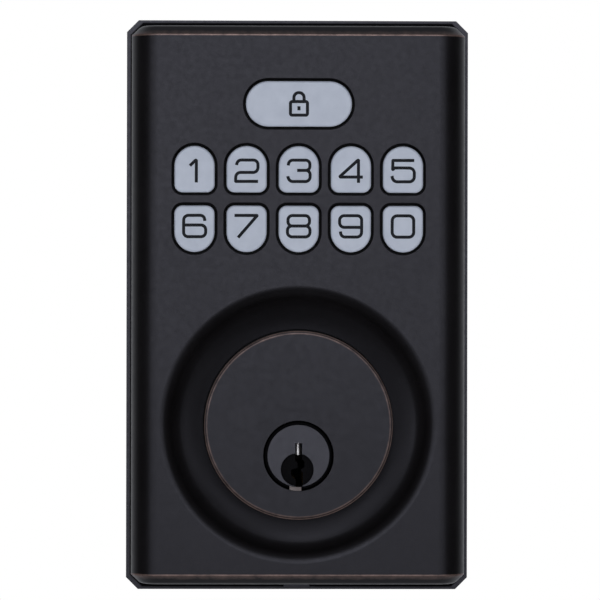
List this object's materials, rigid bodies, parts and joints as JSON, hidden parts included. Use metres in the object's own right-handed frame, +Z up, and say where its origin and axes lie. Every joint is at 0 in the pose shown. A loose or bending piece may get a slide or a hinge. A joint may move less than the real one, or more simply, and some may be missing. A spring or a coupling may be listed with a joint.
{
  "type": "keypad smart lock",
  "caption": "Keypad smart lock, outside assembly: cast cover with rows of push keys and a wide lock key above a keyed cylinder in a round dish, with a tailpiece and bolt posts behind.",
  "frame": {"origin": "axis of the door's cross bore, at the door's outer face", "axes": "+Z up the door, -Y out of the door towards the user (the front), +Y into the door, +X to the right seen from the front"},
  "size_m": [0.072, 0.083, 0.12],
  "materials": {
    "cast_bronze": "satin",
    "plug_face": "satin",
    "key_plastic": "translucent satin",
    "black_plastic": "matte",
    "black_rubber": "matte",
    "clear_silicone": "matte",
    "circuit_board": "solder mask",
    "chip_black": "matte",
    "led_white": "gloss",
    "header_nylon": "matte",
    "zinc_steel": "zinc plated",
    "spring_steel": "bright",
    "hard_steel": "ground",
    "brass": "turned"
  },
  "bodies": {
    "housing": {"back_plate": "cast_bronze", "door_gasket": "black_rubber", "front_cover": "cast_bronze", "cover_seal": "black_rubber", "cover_screws": "zinc_steel", "key_guide": "black_plastic", "key_mat": "clear_silicone", "switch_domes": "spring_steel", "keypad_pcb": "circuit_board", "pcb_screws": "zinc_steel", "backlight_leds": "led_white", "controller_chips": "chip_black", "radio_module": "spring_steel", "piezo_buzzer": "chip_black", "harness_header": "header_nylon", "cable_grommet": "black_rubber", "cylinder_collar": "cast_bronze", "collar_seal": "black_rubber", "cylinder_body": "brass", "key_stop": "hard_steel", "drill_pins": "hard_steel", "driver_pins": "brass", "pin_springs": "spring_steel", "chamber_strip": "brass", "collar_screws": "zinc_steel", "bolt_posts": "zinc_steel"},
    "plug": {"key_plug": "plug_face", "bottom_pins": "brass", "tail_cap": "brass", "cap_lock_screw": "zinc_steel"},
    "tail": {"tailpiece": "zinc_steel"},
    "key_1_body": {"key_1": "key_plastic"},
    "key_2_body": {"key_2": "key_plastic"},
    "key_3_body": {"key_3": "key_plastic"},
    "key_4_body": {"key_4": "key_plastic"},
    "key_5_body": {"key_5": "key_plastic"},
    "key_6_body": {"key_6": "key_plastic"},
    "key_7_body": {"key_7": "key_plastic"},
    "key_8_body": {"key_8": "key_plastic"},
    "key_9_body": {"key_9": "key_plastic"},
    "key_0_body": {"key_0": "key_plastic"},
    "key_lock_body": {"key_lock": "key_plastic"}
  },
  "joints": [
    {"name": "key_1_press", "type": "slide", "parent": "housing", "child": "key_1_body", "axis": [0, 1, 0], "range_m": [0, 0.001], "stiffness_N_per_m": 300, "springref_m": -0.004, "deforming": ["key_mat"]},
    {"name": "key_2_press", "type": "slide", "parent": "housing", "child": "key_2_body", "axis": [0, 1, 0], "range_m": [0, 0.001], "stiffness_N_per_m": 300, "springref_m": -0.004, "deforming": ["key_mat"]},
    {"name": "key_3_press", "type": "slide", "parent": "housing", "child": "key_3_body", "axis": [0, 1, 0], "range_m": [0, 0.001], "stiffness_N_per_m": 300, "springref_m": -0.004, "deforming": ["key_mat"]},
    {"name": "key_4_press", "type": "slide", "parent": "housing", "child": "key_4_body", "axis": [0, 1, 0], "range_m": [0, 0.001], "stiffness_N_per_m": 300, "springref_m": -0.004, "deforming": ["key_mat"]},
    {"name": "key_5_press", "type": "slide", "parent": "housing", "child": "key_5_body", "axis": [0, 1, 0], "range_m": [0, 0.001], "stiffness_N_per_m": 300, "springref_m": -0.004, "deforming": ["key_mat"]},
    {"name": "key_6_press", "type": "slide", "parent": "housing", "child": "key_6_body", "axis": [0, 1, 0], "range_m": [0, 0.001], "stiffness_N_per_m": 300, "springref_m": -0.004, "deforming": ["key_mat"]},
    {"name": "key_7_press", "type": "slide", "parent": "housing", "child": "key_7_body", "axis": [0, 1, 0], "range_m": [0, 0.001], "stiffness_N_per_m": 300, "springref_m": -0.004, "deforming": ["key_mat"]},
    {"name": "key_8_press", "type": "slide", "parent": "housing", "child": "key_8_body", "axis": [0, 1, 0], "range_m": [0, 0.001], "stiffness_N_per_m": 300, "springref_m": -0.004, "deforming": ["key_mat"]},
    {"name": "key_9_press", "type": "slide", "parent": "housing", "child": "key_9_body", "axis": [0, 1, 0], "range_m": [0, 0.001], "stiffness_N_per_m": 300, "springref_m": -0.004, "deforming": ["key_mat"]},
    {"name": "key_0_press", "type": "slide", "parent": "housing", "child": "key_0_body", "axis": [0, 1, 0], "range_m": [0, 0.001], "stiffness_N_per_m": 300, "springref_m": -0.004, "deforming": ["key_mat"]},
    {"name": "key_lock_press", "type": "slide", "parent": "housing", "child": "key_lock_body", "axis": [0, 1, 0], "range_m": [0, 0.001], "stiffness_N_per_m": 300, "springref_m": -0.004, "deforming": ["key_mat"]},
    {"name": "plug_turn", "type": "hinge", "parent": "housing", "child": "plug", "pos_m": [0, 0, -0.0063], "axis": [0, 1, 0], "range_deg": [-90, 90]},
    {"name": "tailpiece_play", "type": "hinge", "parent": "plug", "child": "tail", "pos_m": [0, 0.012, -0.0063], "axis": [0, -1, 0], "range_deg": [0, 90]}
  ]
}
